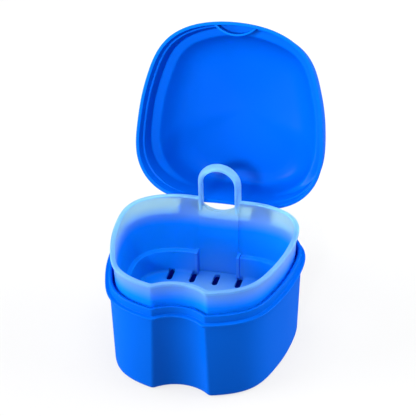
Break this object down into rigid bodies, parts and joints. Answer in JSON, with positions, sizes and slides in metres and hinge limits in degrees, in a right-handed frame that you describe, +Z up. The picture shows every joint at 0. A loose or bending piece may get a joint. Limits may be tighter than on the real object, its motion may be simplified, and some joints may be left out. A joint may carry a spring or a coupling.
{
  "type": "denture case",
  "caption": "rounded open storage box with a hinged domed lid, a finger cleft in front and a lift-out slotted draining basket with a loop handle",
  "frame": {"origin": "middle of the flat underside of the tub, on the surface it stands on", "axes": "+Z up, -Y toward the front with the cleft, +X to the right as the front is faced; lid hinge along X at the back"},
  "size_m": [0.0894, 0.1406, 0.1292],
  "materials": {
    "blue_plastic": "smooth moulded polypropylene, satin gloss, bright blue",
    "clear_plastic": "frosted translucent moulded polypropylene",
    "pin_plastic": "smooth moulded plastic, blue"
  },
  "bodies": {
    "case": {"tub": "blue_plastic", "hinge_pin_left": "pin_plastic", "hinge_pin_right": "pin_plastic"},
    "cover": {"lid": "blue_plastic"},
    "strainer": {"basket": "clear_plastic"}
  },
  "joints": [
    {"name": "lid_hinge", "type": "hinge", "parent": "case", "child": "cover", "pos_m": [0, 0.04467, 0.04149], "axis": [-1, 0, 0], "range_deg": [-107.46, 0]},
    {"name": "basket_lift", "type": "slide", "parent": "case", "child": "strainer", "axis": [0, 0, 1], "range_m": [0, 0.0015]}
  ]
}
